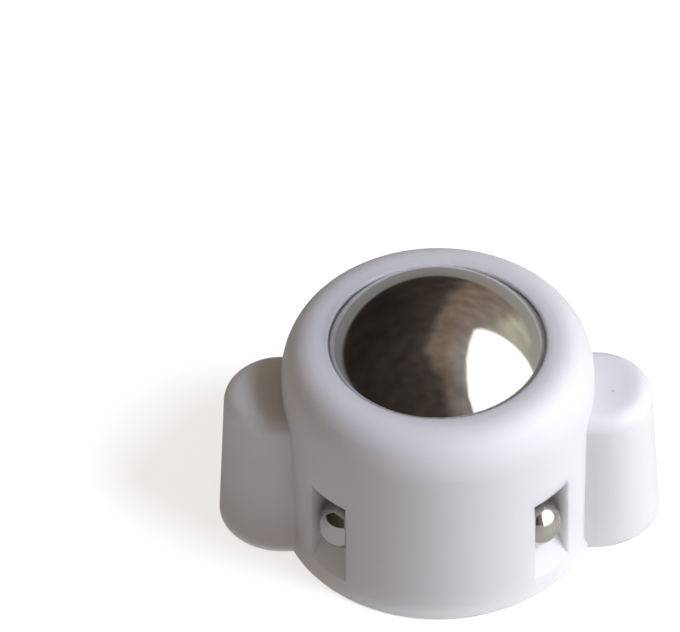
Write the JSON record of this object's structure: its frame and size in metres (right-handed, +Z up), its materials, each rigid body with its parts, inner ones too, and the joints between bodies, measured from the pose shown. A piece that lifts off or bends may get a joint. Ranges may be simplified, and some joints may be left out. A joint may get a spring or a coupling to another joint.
{
  "type": "ball transfer unit",
  "caption": "Low moulded ball transfer unit: a steel load ball held by a lipped round housing with screw ears, rolling on small support balls seen through windows.",
  "frame": {"origin": "centre of the housing's flat base, on the mounting plane, under the load ball", "axes": "+Z up through the load ball, +X along the line through the two screw ears"},
  "size_m": [0.0218, 0.0158, 0.0136],
  "materials": {
    "housing": "satin moulded nylon, off-white",
    "ball_steel": "polished bearing steel"
  },
  "bodies": {
    "housing": {"housing": "housing"},
    "load_ball": {"load_ball": "ball_steel"},
    "support_ball_1": {"support_ball_1": "ball_steel"},
    "support_ball_2": {"support_ball_2": "ball_steel"},
    "support_ball_3": {"support_ball_3": "ball_steel"},
    "support_ball_4": {"support_ball_4": "ball_steel"}
  },
  "joints": [
    {"name": "load_ball_roll", "type": "hinge", "parent": "housing", "child": "load_ball", "pos_m": [0, 0, 0.00724], "axis": [1, 0, 0], "continuous": true},
    {"name": "support_ball_1_roll", "type": "hinge", "parent": "housing", "child": "support_ball_1", "pos_m": [0.00462, 0.00462, 0.00346], "axis": [0.7906, -0.4743, 0.3873], "continuous": true},
    {"name": "support_ball_2_roll", "type": "hinge", "parent": "housing", "child": "support_ball_2", "pos_m": [-0.00462, 0.00462, 0.00346], "axis": [0.7906, 0.4743, -0.3873], "continuous": true},
    {"name": "support_ball_3_roll", "type": "hinge", "parent": "housing", "child": "support_ball_3", "pos_m": [-0.00462, -0.00462, 0.00346], "axis": [0.7906, -0.4743, -0.3873], "continuous": true},
    {"name": "support_ball_4_roll", "type": "hinge", "parent": "housing", "child": "support_ball_4", "pos_m": [0.00462, -0.00462, 0.00346], "axis": [0.7906, 0.4743, 0.3873], "continuous": true}
  ],
  "couplings": [
    {"joint": "support_ball_1_roll", "follows": "load_ball_roll", "ratio": -4.2168},
    {"joint": "support_ball_2_roll", "follows": "load_ball_roll", "ratio": -4.2168},
    {"joint": "support_ball_3_roll", "follows": "load_ball_roll", "ratio": -4.2168},
    {"joint": "support_ball_4_roll", "follows": "load_ball_roll", "ratio": -4.2168}
  ]
}
